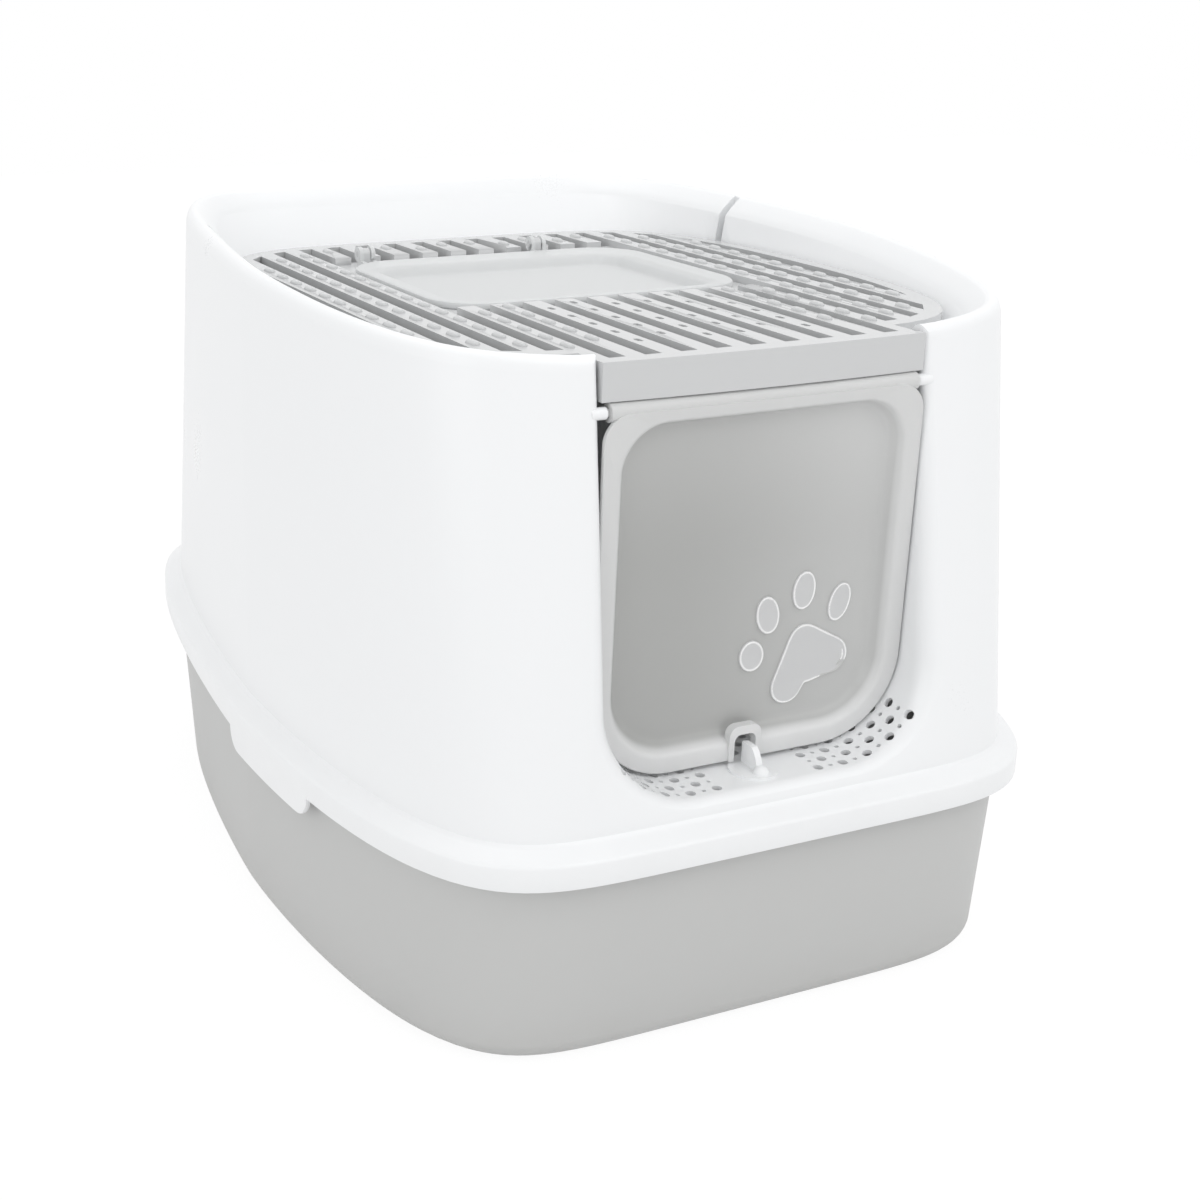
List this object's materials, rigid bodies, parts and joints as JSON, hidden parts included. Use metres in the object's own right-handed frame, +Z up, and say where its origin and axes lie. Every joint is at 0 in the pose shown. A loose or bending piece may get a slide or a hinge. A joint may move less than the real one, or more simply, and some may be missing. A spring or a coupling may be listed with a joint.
{
  "type": "top entry litter box",
  "caption": "Covered litter box: grey tray, white lift-off hood, slatted hinged lid with a top flap, swinging front door with paw ornament and a turning door latch.",
  "frame": {"origin": "middle of the footprint of the bounding box, on the floor", "axes": "+Z up, front door towards -Y, +X to the right seen from behind the door, length along Y"},
  "size_m": [0.4, 0.511, 0.3539],
  "materials": {
    "grey_plastic": "fine satin moulded surface",
    "white_plastic": "satin moulded surface",
    "light_grey_plastic": "satin moulded surface",
    "milky_plastic": "milky translucent, softly frosted"
  },
  "bodies": {
    "tray": {"tray": "grey_plastic"},
    "hood": {"hood": "white_plastic"},
    "lid": {"grille_lid": "light_grey_plastic"},
    "flap": {"top_flap": "milky_plastic"},
    "door": {"front_door": "milky_plastic"},
    "latch": {"door_latch": "white_plastic"}
  },
  "joints": [
    {"name": "hood_lift", "type": "slide", "parent": "tray", "child": "hood", "axis": [0, 0, 1], "range_m": [0, 0.15]},
    {"name": "lid_hinge", "type": "hinge", "parent": "hood", "child": "lid", "pos_m": [0, 0.07956, 0.31994], "axis": [-1, 0, 0], "range_deg": [0, 88]},
    {"name": "flap_hinge", "type": "hinge", "parent": "lid", "child": "flap", "pos_m": [0, 0.09108, 0.32824], "axis": [1, 0, 0], "range_deg": [-100, 0]},
    {"name": "door_hinge", "type": "hinge", "parent": "hood", "child": "door", "pos_m": [0, -0.2105, 0.3075], "axis": [1, 0, 0], "range_deg": [-75, 75]},
    {"name": "latch_turn", "type": "hinge", "parent": "hood", "child": "latch", "pos_m": [-0.002, -0.2245, 0.126], "axis": [0, 0, 1], "range_deg": [0, 90]}
  ]
}
